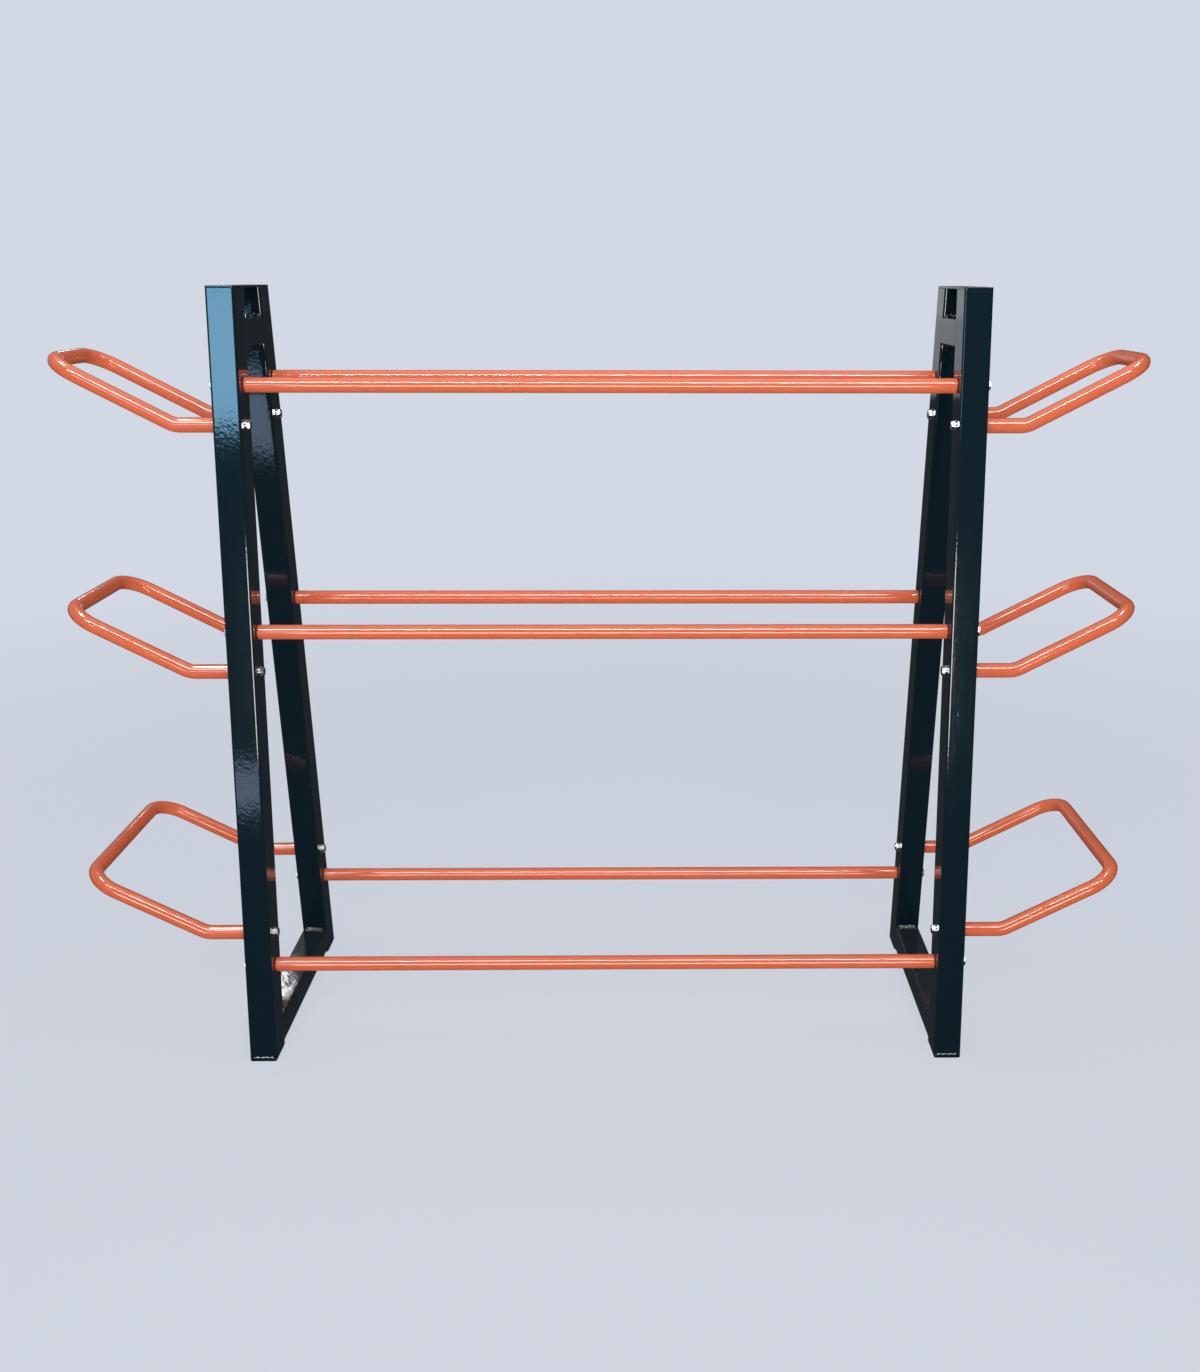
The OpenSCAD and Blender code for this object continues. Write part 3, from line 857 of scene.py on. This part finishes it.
class RACK_OT_bolts(bpy.types.Operator):
    """Add the bolts of the rails and loops"""
    bl_idname = "rack.bolts"
    bl_label = "Bolts"

    def execute(self, context):
        settings = context.scene.rack.fasteners
        random = np.random.default_rng(12)
        for node, heights, x, outwards in (("rail_bolts", rail_heights(), OUTER_X + WASHER_T, 1),
                                           ("loop_bolts", loop_heights(), INNER_X - WASHER_T, -1)):
            bolts = []
            for side in (LEFT, RIGHT):
                for y, z in fitting_places(heights):
                    angle = random.uniform(0, math.pi / 3)
                    bolts.append(on_side(bolt_surface(x, y, z, outwards, angle, settings), side))
            add_piece("plated_" + node, join(bolts), node, "zinc_plate")
        return {"FINISHED"}


class RACK_OT_washers(bpy.types.Operator):
    """Add the washers under the bolts"""
    bl_idname = "rack.washers"
    bl_label = "Washers"

    def execute(self, context):
        settings = context.scene.rack.fasteners
        for node, heights, x, outwards in (("rail_washers", rail_heights(), OUTER_X, 1),
                                           ("loop_washers", loop_heights(), INNER_X, -1)):
            right = join([washer_surface(x, y, z, outwards, settings)
                          for y, z in fitting_places(heights)])
            add_piece("plated_" + node, join([right, mirrored(right)]), node, "zinc_plate")
        return {"FINISHED"}


# Lamps that only gloss shows: name, place, target, size, radiance and colour. They are the highlights
# on the tubes, the window on the left front post and the pale walls that the frames reflect.
GLOSS_LAMPS = (
    ("Ceiling strip", (0, -2.5, 3.9), (0, 0, 0.8), (5.0, 0.4), 52, "#ffffff"),
    ("Low panel", (-0.1, -5.0, 0.7), (0, 0, 0.7), (3.5, 1.1), 16, "#fff6ee"),
    ("Window", (-2.5, -5.2, 2.37), (-0.8, 0, 1.6), (1.2, 0.85), 12, "#96d6ff"),
    ("Floor glow", (-2.3, -4.6, 0.02), (-2.3, -4.6, 3), (1.2, 1.6), 3.2, "#c4deff"),
    ("Rear wall", (-0.9, 7.0, 1.8), (0.8, 0, 1.6), (2.2, 1.8), 0.45, "#f2fbff"),
    ("Rear lamp", (-2.91, 7.2, 3.9), (-0.8, 0, 0), (0.14, 0.3), 26, "#ffffff"),
    ("Left lamp", (-1.75, -0.1, 3.4), (-1.2, 0, 1.0), (0.8, 0.5), 52, "#ffffff"),
    ("Right lamp", (1.9, -0.1, 3.4), (1.2, 0, 1.0), (0.8, 0.3), 42, "#ffffff"),
)


class RACK_OT_stage(bpy.types.Operator):
    """Add the floor, the background, the lights and the camera"""
    bl_idname = "rack.stage"
    bl_label = "Stage"

    def execute(self, context):
        stage = context.scene.rack.stage
        add_floor(stage)
        set_background(context.scene, stage)
        add_light("Overhead softbox", (0, 0.1, 4.2), (0, 0.1, 0), (6.0, 4.0), 1.2 * stage.soft_light,
                  "#ffffff")
        add_light("Front fill", (0, -4.5, 2.6), (0, 0, 0.9), (4.0, 2.0), 6.3 * stage.soft_light,
                  "#fffaf5", gloss=False)
        for name, place, target, size, radiance, colour in GLOSS_LAMPS:
            add_light(name, place, target, size, radiance * stage.lamp_light, colour, matt=False)
        add_camera(context.scene, stage)
        context.scene.view_settings.view_transform = "Standard"
        return {"FINISHED"}


# The dim room that the rack reflects.
ROOM_COLOUR = linear("#e6edf5")
ROOM_LIGHT = 0.05


def add_floor(stage):
    """A level floor of matt paint. Beyond a few metres it takes the background's colour, so that no
    horizon shows."""
    half = 60.0
    grid = np.linspace(-half, half, 3)
    x, y = np.meshgrid(grid, grid, indexing="ij")
    points = np.stack([x, y, np.zeros_like(x)], -1).reshape(-1, 3)
    first_corners = (0, 1, 3, 4)
    faces = [[i, i + 3, i + 4, i + 1] for i in first_corners]
    mesh = bpy.data.meshes.new("floor")
    mesh.from_pydata(points.tolist(), [], faces)
    floor = bpy.data.objects.new("floor", mesh)
    bpy.context.scene.collection.objects.link(floor)

    material, tree = new_material("Matt pale floor paint")
    place = add_node(tree, "ShaderNodeTexCoord").outputs["Object"]
    distance = add_node(tree, "ShaderNodeVectorMath", {0: place}, operation="LENGTH").outputs["Value"]
    far = add_node(tree, "ShaderNodeMapRange", {"Value": distance, "From Min": 1.6, "From Max": 6.0},
                   interpolation_type="SMOOTHSTEP")
    paint = add_node(tree, "ShaderNodeBsdfDiffuse", {"Color": (*stage.floor, 1.0)})
    glow = add_node(tree, "ShaderNodeEmission", {"Color": (*stage.backdrop, 1.0), "Strength": 1.0})
    even = add_node(tree, "ShaderNodeMixShader", {0: 0.8, 1: paint.outputs[0], 2: glow.outputs[0]})
    near = add_node(tree, "ShaderNodeMixShader",
                    {0: far.outputs[0], 1: even.outputs[0], 2: glow.outputs[0]})
    # Gloss shows it as a dark floor, like the floor of the dim room around.
    gloss = add_node(tree, "ShaderNodeLightPath").outputs["Is Glossy Ray"]
    dark = add_node(tree, "ShaderNodeEmission", {"Color": ROOM_COLOUR, "Strength": ROOM_LIGHT})
    mix = add_node(tree, "ShaderNodeMixShader", {0: gloss, 1: near.outputs[0], 2: dark.outputs[0]})
    add_node(tree, "ShaderNodeOutputMaterial", {"Surface": mix.outputs[0]})
    mesh.materials.append(material)


def set_background(scene, stage):
    """Plain pale background. What the rack reflects is a dim room: lighter to the left and above."""
    world = bpy.data.worlds.new("Pale studio")
    scene.world = world
    world.use_nodes = True
    tree = world.node_tree
    tree.nodes.clear()
    seen = add_node(tree, "ShaderNodeLightPath").outputs["Is Camera Ray"]
    shown = add_node(tree, "ShaderNodeBackground", {"Color": (*stage.backdrop, 1.0), "Strength": 1.0})
    direction = add_node(tree, "ShaderNodeTexCoord").outputs["Generated"]
    leftwards = add_node(tree, "ShaderNodeVectorMath", {0: direction, 1: (-0.9, 0.45, 0.0)},
                         operation="DOT_PRODUCT").outputs["Value"]
    side = add_node(tree, "ShaderNodeMapRange", {
        "Value": leftwards, "From Min": 0.2, "From Max": 0.8, "To Min": ROOM_LIGHT, "To Max": 0.35})
    upwards = add_node(tree, "ShaderNodeSeparateXYZ", {0: direction}).outputs["Z"]
    ceiling = add_node(tree, "ShaderNodeMapRange",
                       {"Value": upwards, "From Min": 0.3, "From Max": 0.9, "To Max": 0.12})
    strength = add_node(tree, "ShaderNodeMath", {0: side.outputs[0], 1: ceiling.outputs[0]},
                        operation="ADD")
    room = add_node(tree, "ShaderNodeBackground",
                    {"Color": ROOM_COLOUR, "Strength": strength.outputs[0]})
    mix = add_node(tree, "ShaderNodeMixShader", {0: seen, 1: room.outputs[0], 2: shown.outputs[0]})
    add_node(tree, "ShaderNodeOutputWorld", {"Surface": mix.outputs[0]})


def look_at(place, target):
    """Rotation that points an object's -Z from place to target, with its Y upwards."""
    ahead = unit(np.subtract(target, place))
    across = unit(np.cross(ahead, Z if abs(ahead[2]) < 0.999 else Y))
    return Matrix(np.column_stack([across, np.cross(across, ahead), -ahead]).tolist())


def add_light(name, place, target, size, radiance, colour, matt=True, gloss=True):
    """Rectangular light at a place, turned to a target. Matt or glossy reflection may leave it out."""
    data = bpy.data.lights.new(name, "AREA")
    data.shape = "RECTANGLE"
    data.size, data.size_y = size
    data.energy = radiance * math.pi * size[0] * size[1]
    data.color = linear(colour)[:3]
    light = bpy.data.objects.new(name, data)
    light.matrix_world = Matrix.Translation(place) @ look_at(place, target).to_4x4()
    light.visible_diffuse = matt
    light.visible_glossy = gloss
    bpy.context.scene.collection.objects.link(light)


def add_camera(scene, stage):
    """Camera that looks along its heading, tilted down and rolled."""
    s, c = math.sin(stage.heading), math.cos(stage.heading)
    down, level = math.sin(stage.tilt), math.cos(stage.tilt)
    right = np.array([c, -s, 0])
    up = np.array([s * down, c * down, level])
    ahead = np.array([s * level, c * level, -down])
    roll_s, roll_c = math.sin(stage.roll), math.cos(stage.roll)
    axes = np.column_stack([roll_c * right + roll_s * up, roll_c * up - roll_s * right, -ahead])
    data = bpy.data.cameras.new("Camera")
    data.sensor_width = 36
    data.lens = stage.lens
    data.shift_x, data.shift_y = stage.shift
    camera = bpy.data.objects.new("Camera", data)
    camera.matrix_world = Matrix.Translation(stage.camera_place) @ Matrix(axes.tolist()).to_4x4()
    scene.collection.objects.link(camera)
    scene.camera = camera


class RACK_PT_panel(bpy.types.Panel):
    """Lists the settings and the pieces of the rack"""
    bl_idname = "RACK_PT_panel"
    bl_label = "Storage Rack"
    bl_space_type = "VIEW_3D"
    bl_region_type = "UI"
    bl_category = "Rack"

    def draw(self, context):
        rack = context.scene.rack
        for settings in (rack.welded, rack.tubes, rack.fasteners, rack.stage):
            column = self.layout.column(align=True)
            for name in settings.__annotations__:
                column.prop(settings, name)
        for operator in OPERATORS:
            self.layout.operator(operator.bl_idname)


OPERATORS = (RACK_OT_posts, RACK_OT_cross_tubes, RACK_OT_plates, RACK_OT_weld_beads, RACK_OT_rails,
             RACK_OT_loops, RACK_OT_end_caps, RACK_OT_bolts, RACK_OT_washers, RACK_OT_stage)
CLASSES = (WeldedFrameSettings, TubeSettings, FastenerSettings, StageSettings, RackSettings,
           *OPERATORS, RACK_PT_panel)


def register():
    """Makes the classes and the rack's settings known to Blender."""
    for each in CLASSES:
        bpy.utils.register_class(each)
    bpy.types.Scene.rack = bpy.props.PointerProperty(type=RackSettings)


def unregister():
    """Takes the settings and the classes away again."""
    del bpy.types.Scene.rack
    for each in reversed(CLASSES):
        bpy.utils.unregister_class(each)


def main():
    """Registers the classes and builds every piece in order."""
    register()
    for operator in OPERATORS:
        getattr(bpy.ops.rack, operator.bl_idname.split(".")[1])()


if __name__ == "__main__":
    main()
